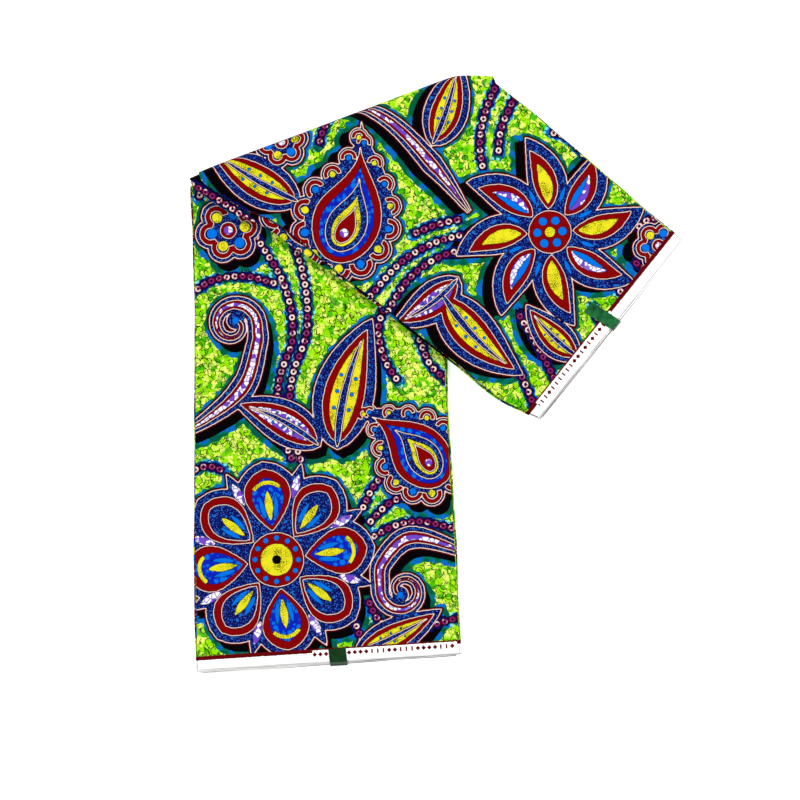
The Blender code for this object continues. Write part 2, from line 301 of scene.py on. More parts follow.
def around_axis(x, left, right):
    """A closed line along both sides of the x axis."""
    return joined((np.stack((x, left), -1), np.stack((x, -right), -1)[::-1][1:-1]))


def petal(place, angle, length, width, bend=0.0, belly=0.8, blunt=0.9, side=0):
    """A petal from its base. Belly under 1 puts the widest place nearer the base, a small blunt rounds it,
    and side 1 gives the left half alone."""
    x = np.linspace(0, 1, 26)
    half = 0.5 * width * np.sin(np.pi * x ** belly) ** blunt
    outline = around_axis(x * length, half, half if side <= 0 else 0 * half)
    return turned(bent(outline, bend, length), angle, place)


def drop(place, angle, length, width, bend, count=26):
    """A teardrop with a round foot and a fine tail, for paisleys."""
    x = np.linspace(0, 1, count) ** 1.3
    belly = 0.36
    foot = np.sqrt(np.clip(1 - ((x - belly) / belly) ** 2, 0, 1))
    tail = (0.5 + 0.5 * np.cos(np.pi * np.clip((x - belly) / (1 - belly), 0, 1))) ** 0.9
    half = 0.5 * width * np.where(x < belly, foot, tail)
    return turned(bent(around_axis(x * length, half, half), bend, length), angle, place)


def band(place, angle, radius, thickness, span, count=20):
    """An arched band of even thickness on a circle."""
    ray = rays(np.linspace(-span / 2, span / 2, count))
    return turned(joined((ray * radius, ray[::-1] * (radius - thickness))), angle, place)


def smooth_line(points, step=2.5):
    """Evenly spaced points along a smooth curve through a few."""
    curve = with_shares(points)
    length = np.linalg.norm(np.diff(curve[1], axis=0), axis=1).sum()
    return curve_at(curve, np.linspace(0, 1, max(4, int(length / step))))


def on_axis(place, angle, length, bend, share):
    """A point of a bent axis, and the axis's angle there."""
    point = turned(bent(np.array(((share * length, 0.0),)), bend, length), angle, place)[0]
    return tuple(point), angle + bend * share


def stem(points, width, shares):
    """A band along a smooth line through a few points, whose width follows its own few shares."""
    line = smooth_line(points, 3.0)
    half = 0.5 * width * np.interp(np.linspace(0, 1, len(line)), np.linspace(0, 1, len(shares)), shares)
    run = np.gradient(line, axis=0)
    run /= np.linalg.norm(run, axis=1)[:, None]
    side = np.stack((-run[:, 1], run[:, 0]), -1) * half[:, None]
    return joined((line + side, (line - side)[::-1]))


def coil(place, start, radius, turns):
    """Points of a line that winds in on a place."""
    share = np.linspace(0, 1, int(12 * turns))
    ray = rays(start + 360 * turns * share)
    return tuple(map(tuple, place + ray * (radius * (1 - 0.78 * share))[:, None]))


def placed(shapes, place, size):
    """A motif that was drawn at size 1."""
    return [(kind, outline * size + place) for kind, outline in shapes]


def great_flower(place, size, turn):
    """A wide flower of eight rounded petals with veins, round a seeded eye."""
    shapes = []
    for k in range(8):
        angle = turn + 45 * k
        between = angle + 22.5
        shapes += [
            ("body", petal(around(angle, 0.16), angle, 0.84, 0.62, 0, 1.45, 0.62)),
            ("body", petal(around(between, 0.5), between, 0.5, 0.17)),
            ("red", petal(around(angle, 0.3), angle, 0.62, 0.46, 0, 1.4, 0.62)),
            ("navy" if k % 2 else "royal", petal(around(angle, 0.34), angle, 0.5, 0.32, 0, 1.35, 0.62)),
            ("gold", band(around(angle, 0.62), angle, 0.19, 0.045, 104)),
            ("violet", petal(around(between, 0.62), between, 0.28, 0.09, 0, 1.1)),
            ("gold_top", petal(around(angle, 0.37), angle, 0.34, 0.085, 0, 1.2)),
        ]
        for side in (-1, 1):
            vein = petal(around(angle + 6 * side, 0.42), angle + 13 * side, 0.26, 0.055, -8 * side)
            shapes.append(("azure_top", vein))
    for kind, radius in (("body", 0.36), ("red", 0.27), ("gold_top", 0.165), ("black", 0.045)):
        shapes.append((kind, circle(radius)))
    shapes += [("azure_top", circle(0.03, around(30 * k, 0.22), 16)) for k in range(12)]
    return placed(shapes, place, size)


def pinwheel(place, size, turn):
    """A flower whose petals all bend one way, like a windmill."""
    shapes = []
    for k in range(8):
        angle = turn + 45 * k
        heart, tilt = around(angle, 0.31), angle - 5
        shapes += [
            ("body", petal(around(angle, 0.12), angle - 12, 0.98, 0.42, 48, 0.85, 0.85)),
            ("red", petal(around(angle, 0.26), angle - 6, 0.68, 0.25, 40, 0.85)),
            ("violet" if k % 2 else "gold", petal(heart, tilt, 0.48, 0.15, 34, 0.85)),
            ("azure", petal(around(angle + 24, 0.34), angle + 14, 0.2, 0.05, 16, 0.85)),
        ]
        if k % 2:
            shapes.append(("azure_top", petal(heart, tilt, 0.46, 0.14, 34, 0.85, side=1)))
        if k < 6:
            shapes.append(("azure", circle(0.05, around(60 * k + turn, 0.14), 20)))
    shapes += [("body", circle(0.3)), ("red", circle(0.23)), ("gold", circle(0.06, count=20))]
    return placed(shapes, place, size)


def paisley(place, angle, size, bend):
    """A great paisley with a scalloped rim, and smaller ones inside it."""
    lobes = 15
    along, rim = with_shares(drop(CENTRE, angle, 1.62, 0.98, bend, 60))
    middle = around(angle, 0.55)
    shapes = [("body", drop(CENTRE, angle, 1.7, 1.02, bend))]
    for k in range(lobes):
        share = (k + 0.5) / lobes
        x, y = (np.interp(share, along, rim[:, axis]) for axis in (0, 1))
        out = math.degrees(math.atan2(y - middle[1], x - middle[0]))
        lobe = 0.17 - 0.07 * math.sin(math.pi * share) ** 2
        seed = petal(around(out, -0.34 * lobe, (x, y)), out, 0.72 * lobe, 0.62 * lobe)
        shapes += [
            ("body", circle(lobe, (x, y), 28)),
            ("red", band((x, y), out, 0.78 * lobe, 0.3 * lobe, 200)),
            ("azure" if k % 2 else "gold", seed),
        ]
    for kind, start, length, width, turn in (
        ("red", 0.07, 1.34, 0.76, 0.92),
        ("royal", 0.13, 1.12, 0.6, 0.85),
        ("navy", 0.2, 0.86, 0.44, 0.75),
        ("gold_top", 0.25, 0.66, 0.31, 0.65),
        ("red_top", 0.3, 0.44, 0.19, 0.5),
    ):
        shapes.append((kind, drop(around(angle, start), angle, length, width, turn * bend)))
    shapes.append(("violet_top", circle(0.055, around(angle, 0.42), 20)))
    return placed(shapes, place, size)


def leaf(place, angle, length, width, bend, core="gold"):
    """A long leaf inside a red rim, with a rib and small eyes beside it."""
    shapes = []
    for kind, start, long, wide, turn, belly, blunt in (
        ("body", 0.0, 1.0, 1.0, 1.0, 0.75, 0.85),
        ("red", 0.05, 0.86, 0.66, 0.88, 0.75, 0.88),
        (core, 0.09, 0.76, 0.44, 0.82, 0.75, 0.9),
        ("navy", 0.02, 0.8, 0.1, 0.8, 0.6, 0.8),
    ):
        foot, tilt = on_axis(place, angle, length, bend, start)
        shapes.append((kind, petal(foot, tilt, long * length, wide * width, turn * bend, belly, blunt)))
    for share in (0.3, 0.42, 0.54):
        at, turn = on_axis(place, angle, length, bend, share)
        for side in (-90, 90):
            eye = circle(0.036 * width, around(turn + side, 0.125 * width, at), 14)
            shapes.append(("azure_top", eye))
    return shapes


def blossom(place, size, turn):
    """A small round flower of six lobes."""
    shapes = [("red", circle(0.24, count=24)), ("violet", circle(0.15, count=18))]
    for k in range(6):
        angle = turn + 60 * k
        shapes += [
            ("body", circle(0.44, around(angle, 0.58), 24)),
            ("red", band(around(angle, 0.56), angle, 0.33, 0.13, 230, 16)),
            ("azure" if k % 2 else "gold", circle(0.17, around(angle, 0.52), 18)),
        ]
    return placed(shapes, place, size)


def tendril(points, width):
    """A coiling stem with a red band and a violet core, which narrows to a round head."""
    return [
        ("body", stem(points, width, (0.2, 1.0, 0.72, 0.34))),
        ("red", stem(points, width, (0.02, 0.5, 0.36, 0.1))),
        ("violet", stem(points, width, (0.01, 0.28, 0.18, 0.02))),
        ("body", circle(0.36 * width, points[-1], 24)),
        ("azure", circle(0.16 * width, points[-1], 18)),
    ]


def gathered(*groups):
    """The outlines of several motifs, by what they are filled with."""
    classes = {}
    for group in groups:
        for kind, outline in group:
            classes.setdefault(kind, []).append(outline)
    return classes


# The print on each stretch: motifs, then strings of beads as x, y of points along each
LOWER_MOTIFS = gathered(
    great_flower((-207, -240), 129, 8),
    paisley((8, -150), 114, 96, 44),
    leaf((-128, -96), 88, 178, 78, -26),
    leaf((-150, -92), 140, 130, 56, 26, "violet"),
    blossom((-270, 190), 42, 12),
    tendril(((-350, -84), (-300, -58), (-250, -14), (-232, 44), *coil((-264, 66), -12, 33, 1.2)), 31),
    tendril(((70, -250), (18, -222), (-36, -212), (-70, -246), *coil((-42, -280), 165, 31, 1.2)), 29),
    leaf((-104, -362), 20, 126, 48, 14),
)
LOWER_STRINGS = (
    (-186, -112, -206, -58, -202, 0, -186, 50, -196, 116, -236, 186),
    (-174, -114, -190, -60, -186, 0, -168, 56, -170, 120, -188, 186),
    (-322, 104, -292, 124, -250, 130, -206, 120),
    (-96, -176, -80, -144, -58, -120, -30, -106),
    (-88, -194, -62, -168, -38, -156, -14, -150),
    (-84, -212, -54, -196, -20, -190, 26, -200),
    (-88, -292, -72, -320, -40, -332, 38, -314),
    (-104, -322, -96, -352, -104, -390),
    (-62, 100, -74, 62, -66, 22, -48, -8),
    (-22, 52, -6, 14, 18, -8),
    (-318, -124, -296, -118, -276, -124),
    (-311, 266, -307, 248, -308, 230),
)
UPPER_MOTIFS = gathered(
    pinwheel((150, 188), 118, 4),
    paisley((-148, 148), 52, 114, 44),
    leaf((8, 108), -60, 152, 66, 30),
    leaf((30, 128), -128, 108, 50, -34, "violet"),
    leaf((-4, 300), 64, 118, 56, 18),
    leaf((-176, 226), 157, 146, 62, -16),
    blossom((-200, 304), 34, 14),
    blossom((292, 170), 33, 10),
    tendril(((44, 214), (4, 266), (-58, 330), (-130, 366)), 27),
    leaf((188, 24), 146, 98, 46, -22),
)
UPPER_STRINGS = (
    (40, 166, 0, 152, -36, 124, -64, 80),
    (36, 184, -4, 172, -44, 148, -88, 100),
    (34, 204, 0, 196, -30, 184),
    (62, 268, 58, 304, 66, 346, 88, 396),
    (82, 288, 86, 322, 106, 368),
    (-186, 286, -232, 284, -296, 290),
    (-152, 300, -144, 324, -132, 350),
    (-152, 146, -206, 184, -242, 208, -280, 230, -318, 250),
    (258, 150, 280, 138, 300, 142),
    (262, 192, 284, 206, 302, 198),
    (238, 114, 250, 104, 266, 98),
    (206, 90, 218, 66, 240, 64),
    (108, 82, 132, 42, 162, -16),
    (88, 40, 110, 6, 136, -56),
    (150, 318, 172, 312, 196, 286),
)

FAR = 60.0
REACH = 15.0
BEAD_PITCH = 10.5
MOST_BEADS = 100


def boxed(at, outline):
    """Which points lie in an outline's box, made wider."""
    low, high = outline.min(axis=0) - REACH, outline.max(axis=0) + REACH
    return np.nonzero(np.all((at >= low) & (at <= high), axis=1))[0]


def to_outline(at, outline):
    """Distances to a closed line, less than nothing inside it."""
    least, crossings = np.full(len(at), 1e9), np.zeros(len(at), int)
    for start, run in zip(outline, np.roll(outline, -1, axis=0) - outline):
        off = at - start
        size = run @ run
        if size < 1e-9:
            continue
        share = np.clip((off @ run) / size, 0, 1)
        gap = off - share[:, None] * run
        least = np.minimum(least, np.einsum("ij,ij->i", gap, gap))
        if abs(run[1]) > 1e-12:
            spans = (off[:, 1] >= 0) != (off[:, 1] - run[1] >= 0)
            crossings += spans & (off[:, 0] < run[0] * off[:, 1] / run[1])
    return np.where(crossings % 2 == 1, -1.0, 1.0) * np.sqrt(least)


def to_class(at, outlines):
    """Distances to the nearest of several outlines."""
    least = np.full(len(at), FAR)
    for outline in outlines:
        near = boxed(at, outline)
        if len(near):
            least[near] = np.minimum(least[near], to_outline(at[near], outline))
    return least


def to_strings(at, strings):
    """For the nearest string of beads: distance to its middle line, place along it in beads, distance to its
    left, and how far inside its two ends."""
    fields = np.full((4, len(at)), ((FAR,), (0.0,), (FAR,), (-FAR,)))
    for number, points in enumerate(strings):
        line = smooth_line(points)
        near = boxed(at, line)
        if not len(near):
            continue
        best = np.full((3, len(near)), 1e9)
        done, final = 0.0, len(line) - 2
        for part, (start, end) in enumerate(zip(line, line[1:])):
            run, off = end - start, at[near] - start
            length = math.hypot(*run)
            share = (off @ run) / length ** 2
            gap = np.linalg.norm(off - np.clip(share, 0, 1)[:, None] * run, axis=1)
            share = np.clip(share, -9 if part == 0 else 0, 9 if part == final else 1)
            beside = (run[0] * off[:, 1] - run[1] * off[:, 0]) / length
            best = np.where(gap < best[0], (gap, done + share * length, beside), best)
            done += length
        gap, where, beside = best
        bead = where * max(1, round(done / BEAD_PITCH)) / done + MOST_BEADS * number
        new = gap, bead, beside, np.minimum(where, done - where)
        fields[:, near] = np.where(gap < fields[0, near], new, fields[:, near])
    return fields


CLASSES = (
    "body", "red", "royal", "azure", "violet", "gold", "navy",
    "azure_top", "gold_top", "red_top", "violet_top", "black",
)


def printed(stretch, at, inward, along):
    """What the print's material reads at each point of the cloth: distances in millimetres, by name."""
    motifs, shade, marks = stretch.motifs, np.array(stretch.shade), stretch.marks
    fields = {kind: to_class(at, motifs.get(kind, ())) for kind in CLASSES}
    shadows = [to_class(at - part * shade, motifs["body"]) for part in (0.33, 0.67, 1.0)]
    fields["shade"] = np.minimum.reduce(shadows)
    fields.update(zip(("string", "bead", "across", "chain"), to_strings(at, stretch.strings)))
    fields["nip"] = to_strings(at, stretch.nips)[0]
    fields["edge_in"], fields["edge_along"] = inward, along
    fields["print_at"] = joined((at + stretch.shift, np.zeros((len(at), 1))), 1)
    fields["marks"] = np.minimum(along - marks[0], marks[1] - along)
    return fields


# The cloth's meshes
TURN_ROWS = 28
EDGE_RADIUS = 0.625
FOLD_HEIGHT = 2 * EDGE_RADIUS
TUCK = 6.0
EDGE_TURN = (0, 22, 45, 68, 90, 115, 145, 180)
END_RADIUS = 0.22
CRISP = math.radians(60)


def rolled(share_of_one, radius):
    """Shares and drops of an edge that turns under: from the underside, round the edge, to the flat."""
    turn = np.radians(EDGE_TURN[::-1])
    shares = radius * share_of_one * (1 - np.sin(turn))
    drops = radius * (1 - np.cos(turn))
    return joined(((TUCK * share_of_one,), shares)), joined(((2 * radius,), drops))


def across(width, step):
    """Shares from one long edge to the other, the drops there, and the shares with the edges unrolled."""
    share, drop_by = rolled(1 / width, EDGE_RADIUS)
    flat = np.linspace(share[-1], 1 - share[-1], int(width / step))[1:-1]
    shares = joined((share, flat, 1 - share[::-1]))
    drops = joined((drop_by, 0 * flat, drop_by[::-1]))
    arc = EDGE_RADIUS * np.radians(EDGE_TURN[::-1]) / width
    under = share[-1:] - np.pi * EDGE_RADIUS / width - share[0]
    unrolled = joined((under, share[-1] - arc))
    return shares, drops, joined((unrolled, flat, 1 - unrolled[::-1]))


def end_rows(length, last, step):
    """Shares from the selvedge on, and the drops there."""
    share, drop_by = rolled(1 / length, END_RADIUS)
    flat = np.linspace(share[-1], 1, int(length / step))[1:]
    if last > 1:
        flat = joined((flat, np.linspace(1, last, TURN_ROWS)[1:]))
    return joined((share, flat)), joined((drop_by, 0 * flat))


def plan_of(edges, s, t):
    """Where a point of the cloth lies in plan, with the fold opened out flat."""
    flat = patch(edges, np.minimum(s, 1), t)
    beyond = np.maximum(s - 1, 0) * np.pi * FOLD_RADIUS
    return flat - beyond[..., None] * FOLD_INWARD


def from_selvedge(stretch, at):
    """Distances in from the selvedge, and along it."""
    start, end = stretch.edges[0][1]
    along = (end - start) / np.linalg.norm(end - start)
    inward = np.array((-along[1], along[0]))
    return (at - start) @ inward, (at - start) @ along


def added(name, data):
    """A new object in the scene."""
    thing = bpy.data.objects.new(name, data)
    bpy.context.collection.objects.link(thing)
    return thing


def add_mesh(name, points, faces, fields):
    """An object with smooth faces and crisp cut edges, whose points hold the print's fields."""
    mesh = bpy.data.meshes.new(name)
    mesh.from_pydata(((points.reshape(-1, 3) - MIDDLE) * MM).tolist(), [], faces.tolist())
    for field, values in fields.items():
        values = np.asarray(values, np.float32)
        kind, slot = ("FLOAT", "value") if values.ndim == 1 else ("FLOAT_VECTOR", "vector")
        mesh.attributes.new(field, kind, "POINT").data.foreach_set(slot, values.ravel())
    mesh.shade_smooth()
    mesh.set_sharp_from_angle(angle=CRISP)
    mesh.materials.append(COTTON)
    return added(name, mesh)


def grid_faces(index):
    """Quads over a table of point numbers."""
    a, b, c, d = index[:-1, :-1], index[:-1, 1:], index[1:, 1:], index[1:, :-1]
    return np.stack((a, b, c, d), -1).reshape(-1, 4)


def face(name, stretch):
    """The outermost cloth of a stretch: one open sheet, rolled under along its long edges."""
    width, length = stretch.size
    t, drop_t, t_flat = across(width, stretch.step)
    s, drop_s = end_rows(length, stretch.last, stretch.step)
    s, t = np.meshgrid(s, t, indexing="ij")
    height = STACK - drop_t[None, :] - np.where(drop_t[None, :] > 0, 0, drop_s[:, None])
    points = stretch.point(s, t, height)
    at = plan_of(stretch.edges, s, np.broadcast_to(t_flat, s.shape)).reshape(-1, 2)
    fields = printed(stretch, at, *from_selvedge(stretch, at))
    fields["clear"], fields["rise"] = np.full(len(at), FAR), np.ones(len(at))
    return add_mesh(name, points, grid_faces(np.arange(s.size).reshape(s.shape)), fields)


# The hidden layers: folds of two layers each, rounds along the sides and thin edges at the selvedge
LEAF_OF_FOLD = (0, 0, 1, 1, 2, 2, 3)
FOLDS = len(LEAF_OF_FOLD)
FOLD_LEVELS = (0.0, 0.05, 0.1, 0.4, 0.45, 0.5, 0.55, 0.6, 0.9, 0.95, 1.0)
INNER_LEVELS = (0.0, 0.05, 0.45, 0.5, 0.55, 0.95, 1.0)
LEDGE_STEPS = (0.15, 0.3, 0.45, 0.6, 0.75, 0.9, 1.0)
LAYER_GAP = 1.6
TOP_GAP = 0.05
END_CLEAR = 2.5
FOLD_SHIFTS = ((83, -57), (-61, 94), (37, 121), (-109, -46), (43, -19), (40, -21), (118, 39))


def ripple(along, fold, side, size):
    """A layer's slow sideways unevenness."""
    turn = 2.4 * fold + 1.7 * side
    return size * (0.6 * np.sin(along / 41 + 3.1 * turn) + 0.4 * np.sin(along / 17 + 5.3 * turn))


def block_loops(stretch, loop_s, loop_t):
    """The loops round a block, from the bottom up: s, t, height, the leaf's reach past the end, how far the
    cloth lies out from under the leaf above (which sets the painted shade there), and the fold."""
    width, length = stretch.size
    at_end, at_left, at_right = loop_s == 0, loop_t == 0, loop_t == 1
    loops = []
    for fold, leaf_number in enumerate(LEAF_OF_FOLD):
        rows = np.array(stretch.sides[leaf_number], float)
        left, right = (np.interp(loop_s, rows[:, 0], rows[:, k]) for k in (1, 2))
        left = left + ripple(loop_s * length, fold, 1, 0.7)
        right = right + ripple(loop_s * length, fold, 2, 0.7)
        first, final = stretch.ends[leaf_number]
        for level in FOLD_LEVELS:
            rounding = EDGE_RADIUS * (np.sin(np.pi * level) - 1) * 1.5
            layer = 2 * fold + (level >= 0.5)
            reach = first + (final - first) * loop_t + ripple(loop_t * width, layer, 3, 0.5)
            out = reach - LAYER_GAP * (level in INNER_LEVELS)
            t = loop_t - at_left * (left + rounding) / width + at_right * (right + rounding) / width
            clear = FAR * (level > FOLD_LEVELS[1]) + 0 * loop_t
            s = loop_s - at_end * out / length
            loop = s, t, (fold + level) * FOLD_HEIGHT, reach * at_end, clear, fold
            if level == 0.0 and fold and leaf_number != LEAF_OF_FOLD[fold - 1]:
                below = loops[-1]
                ledge = np.hypot((below[0] - loop[0]) * length, (below[1] - loop[1]) * width)
                for share in LEDGE_STEPS:
                    between = [a + share * (b - a) for a, b in zip(below[:3], loop[:3])]
                    clear = (1 - share) * ledge - np.where(at_end, LAYER_GAP, 1.5 * EDGE_RADIUS)
                    # At the cut ends the painted shade beside the leaf above is narrower
                    clear = clear * np.where(at_end, END_CLEAR, 1.0)
                    loops.append((*between, below[3], clear, fold - 1))
            loops.append(loop)
    return loops


def block(name, stretch):
    """The layers below a stretch's top one, as one closed mesh."""
    s, t = (np.linspace(0, 1, count + 1) for count in stretch.counts)
    if stretch.last > 1:
        s = joined((s, np.linspace(1, stretch.last, TURN_ROWS)[1:]))
    i, j = np.arange(len(s)), np.arange(len(t))
    loop_i = joined((0 * j, i[1:], 0 * j[1:] + i[-1], i[-2:0:-1]))
    loop_j = joined((j, 0 * i[1:] + j[-1], j[-2::-1], 0 * i[-2:0:-1]))
    top = STACK - FOLD_HEIGHT - TOP_GAP
    points, places, outs, clears, folds, shifts = [], [], [], [], [], []

    def add(at_s, at_t, height, out, clear, fold):
        points.append(stretch.point(at_s, at_t, np.full(at_s.shape, min(height, top))).reshape(-1, 3))
        places.append(plan_of(stretch.edges, at_s, at_t).reshape(-1, 2))
        for values, value in ((outs, out), (clears, clear), (folds, fold / FOLDS)):
            values.append(np.broadcast_to(value, at_s.shape).ravel())
        shifts.append(np.broadcast_to(np.array(FOLD_SHIFTS[fold], float), (at_s.size, 2)))

    loops = block_loops(stretch, s[loop_i], t[loop_j])
    for loop in loops:
        add(*loop)
    loop, levels = len(loop_i), len(loops)
    grid_s, grid_t = np.meshgrid(s[1:-1], t[1:-1], indexing="ij")
    index = np.arange(loop * levels).reshape(levels, loop)
    quads = [grid_faces(joined((index, index[:, :1]), 1))]
    for number, (first, height, fold) in enumerate(((0, 0.0, 0), (levels - 1, top, FOLDS - 1))):
        add(grid_s, grid_t, height, 0.0, FAR, fold)
        table = np.empty((len(s), len(t)), int)
        table[loop_i, loop_j] = first * loop + np.arange(loop)
        inner = loop * levels + number * grid_s.size + np.arange(grid_s.size)
        table[1:-1, 1:-1] = inner.reshape(grid_s.shape)
        cap = grid_faces(table)
        quads.append(cap if number else cap[:, ::-1])
    at, shift = joined(places), joined(shifts)
    inward, along = from_selvedge(stretch, at)
    fields = printed(stretch, at + shift, inward + joined(outs), along)
    fields["clear"], fields["rise"] = joined(clears), joined(folds)
    return add_mesh(name, joined(points), joined(quads), fields)


# Materials
BRIGHT = 1.25


def linear(colour):
    """A screen colour, 0 to 255, as the paint that looks so in light a little too bright for bare white."""
    light = (((c / 255 + 0.055) / 1.055) ** 2.4 if c > 10 else c / 255 / 12.92 for c in colour)
    return tuple(min(value / BRIGHT, 0.96) for value in light) + (1.0,)


class Shading:
    """A material's nodes, made by short calls."""

    def __init__(self, name, colour):
        self.material = bpy.data.materials.new(name)
        self.material.use_nodes = True
        self.tree = self.material.node_tree
        self.colour, self.place = colour, None

    def put(self, socket, value):
        if isinstance(value, bpy.types.NodeSocket):
            self.tree.links.new(value, socket)
        else:
            socket.default_value = value

    def make(self, kind, values=(), **settings):
        node = self.tree.nodes.new("ShaderNode" + kind)
        for key, value in settings.items():
            setattr(node, key, value)
        for key, value in dict(values).items():
            self.put(node.inputs[key], value)
        return node

    def field(self, name, output="Fac"):
        return self.make("Attribute", attribute_name=name).outputs[output]

    def math(self, operation, *values, clamp=False):
        values = dict(enumerate(values))
        return self.make("Math", values, operation=operation, use_clamp=clamp).outputs[0]

    def less(self, a, b):
        return self.math("SUBTRACT", a, b)

    def plus(self, a, b, clamp=False):
        return self.math("ADD", a, b, clamp=clamp)

    def both(self, first, *more):
        """The product of all of them."""
        for value in more:
            first = self.math("MULTIPLY", first, value)
        return first

    def scaled(self, value, by, plus, clamp=False):
        return self.math("MULTIPLY_ADD", value, by, plus, clamp=clamp)

    def under(self, value, edge, soft=0.45):
        """1 where the value is less than the edge, with a soft step."""
        if isinstance(edge, (int, float)):
            return self.scaled(value, -1 / soft, edge / soft + 0.5, clamp=True)
        return self.scaled(self.less(edge, value), 1 / soft, 0.5, clamp=True)

    def over(self, value, edge, soft=0.45):
        return self.less(1.0, self.under(value, edge, soft))

    def mix(self, below, above, share):
        node = self.make("Mix", {0: share}, data_type="RGBA")
        for socket, colour in ((node.inputs[6], below), (node.inputs[7], above)):
            self.put(socket, linear(colour) if isinstance(colour, tuple) else colour)
        return node.outputs[2]

    def paint(self, colour, share):
        """Lay a colour over the colours so far."""
        self.colour = self.mix(self.colour, colour, share)

    def moved(self, place, by):
        """A place moved by a pair of numbers or by a vector, or as it is."""
        if by is None:
            return place
        by = (*by, 0) if isinstance(by, tuple) else by
        return self.make("VectorMath", {0: place, 1: by}, operation="ADD").outputs[0]

    def cells(self, pitch, shift=None, feature="F1", place=None):
        """Distances in a pattern of cells, and a draw of each cell's own numbers from 0 to 1."""
        values = {"Vector": self.moved(place or self.place, shift), "Scale": 1 / pitch}
        node = self.make("TexVoronoi", values, voronoi_dimensions="2D", feature=feature)

        def draw(channel):
            return self.make("SeparateColor", {0: node.outputs["Color"]}).outputs[channel]

        return node.outputs["Distance"], draw

    def lot(self, value):
        """A number from 0 to 1 that each whole number has."""
        values = {"W": self.math("FLOOR", value)}
        return self.make("TexWhiteNoise", values, noise_dimensions="1D").outputs["Value"]

    def noise(self, pitch, detail=1.0, shift=None, place=None, output="Fac"):
        values = {"Vector": self.moved(place or self.place, shift), "Scale": 1 / pitch, "Detail": detail}
        return self.make("TexNoise", values, noise_dimensions="2D").outputs[output]

    def cloud(self, scale, detail):
        """Noise through the whole space of an object."""
        values = {"Vector": self.make("TexCoord").outputs["Object"], "Scale": scale, "Detail": detail}
        return self.make("TexNoise", values).outputs["Fac"]

    def done(self, roughness, specular, bump=(), **more):
        """The material, its single numbers set on the shader itself. A bump is height, strength and depth."""
        values = {"Base Color": self.colour, "Roughness": roughness, "Specular IOR Level": specular, **more}
        if bump:
            values["Normal"] = self.make("Bump", zip(("Height", "Strength", "Distance"), bump)).outputs[0]
        for name, value in values.items():
            self.put(self.tree.nodes["Principled BSDF"].inputs[name], value)
        return self.material


# Paints, as they look on a screen
LIME, PALE_LIME, BRIGHT_LIME, GREEN = (150, 230, 2), (238, 252, 112), (188, 246, 30), (76, 192, 6)
LEAF_GREEN, DEEP_GREEN, HAZE = (44, 150, 14), (6, 34, 2), (84, 120, 70)
BLUE, DEEP_BLUE, TEAL, DARK_TEAL = (4, 108, 196), (2, 74, 136), (0, 116, 74), (0, 92, 56)
BLACK, MAROON, RED, PINK = (2, 0, 2), (88, 2, 10), (132, 0, 2), (252, 220, 210)
INK, NAVY, DOT_BLUE, BUBBLE_BLUE = (4, 2, 30), (8, 10, 84), (48, 108, 212), (22, 106, 196)
AZURE, ROYAL, DUSK = (0, 114, 228), (8, 34, 186), (24, 50, 150)
VIOLET, WHITE, GOLD, MAGENTA = (112, 70, 196), (252, 250, 252), (236, 228, 34), (136, 28, 104)
CORD, BEAD_EYE, SELVEDGE_RED, OLIVE = (66, 0, 22), (30, 0, 20), (98, 2, 8), (58, 66, 8)
# The last of these is painted shade for the cut edges
SEA, STRING_NAVY, PAPER, EDGE_SHADE = (120, 222, 226), (10, 14, 96), (277, 276, 274), (104, 100, 100)

# Sizes in the print, in millimetres
WOBBLE, RAGGED, WARP, WARP_PITCH, WEAVE_PITCH = 1.1, 4.4, 4.5, 9.0, 0.8
LINE_HALF, LINE_SOFT = 0.48, 0.3
BUBBLE_BREAKS, RING_BREAKS = 5.5, 11.0
MOTIF_BORDER, STRING_BORDER = 6.9, 8.4
SCALLOP, CORD_HALF, RED_HALF, BEAD_REACH = 5.2, 3.7, 2.5, 4.4
BEAD_RADIUS, HOLE_RADIUS = 3.85, 1.75
MARK_PITCH, MARK_LINE, LOZENGE, BAR_HALF_WIDTH, BAR_HALF = 7.5, 10.2, 3.2, 1.1, 2.9
PRINT_STARTS, BARE_WIDTH, MARKED_WIDTH = 17.6, 12.2, 3.4


